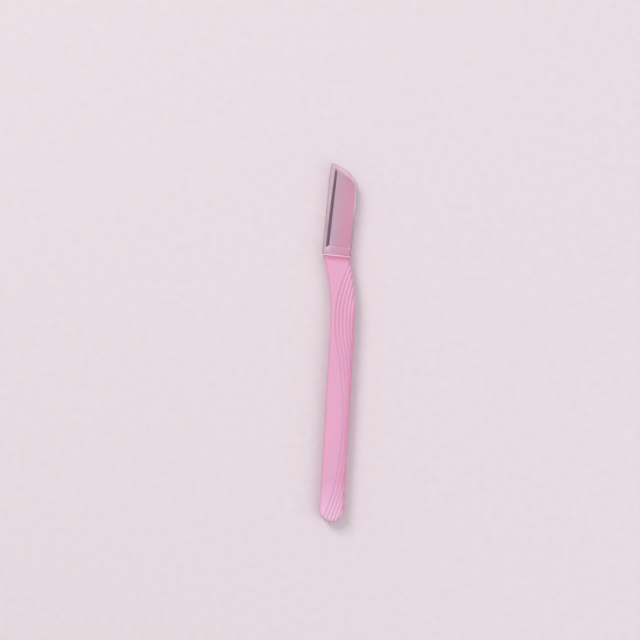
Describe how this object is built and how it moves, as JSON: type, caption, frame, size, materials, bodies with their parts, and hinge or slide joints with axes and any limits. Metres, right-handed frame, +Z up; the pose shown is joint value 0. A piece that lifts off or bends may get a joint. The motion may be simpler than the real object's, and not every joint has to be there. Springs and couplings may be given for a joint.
{
  "type": "eyebrow razor",
  "caption": "Slim eyebrow razor: wave-grooved plastic handle with a bent neck, flat head that holds a thin guarded steel blade, and a see-through pull-off cap.",
  "frame": {"origin": "on the flat underside of the handle, on the grip's centre line, halfway along the handle moulding", "axes": "+Y along the straight grip towards the head, +X towards the grooved back of the grip, so the cutting edge faces -X, and +Z up, out of the front face"},
  "size_m": [0.0157, 0.1483, 0.0052],
  "materials": {
    "handle_plastic": "satin moulded pink",
    "clamp_plastic": "satin moulded pink",
    "blade_steel": "ground and polished edge",
    "guard_steel": "thin rolled sheet",
    "cap_plastic": "clear, slightly cloudy"
  },
  "bodies": {
    "razor": {"handle": "handle_plastic", "blade": "blade_steel", "skin_guard": "guard_steel", "blade_clamp": "clamp_plastic"},
    "cap": {"cap": "cap_plastic"}
  },
  "joints": [
    {"name": "cap_slide", "type": "slide", "parent": "razor", "child": "cap", "axis": [0.0523, 0.9986, 0], "range_m": [0, 0.042]}
  ]
}
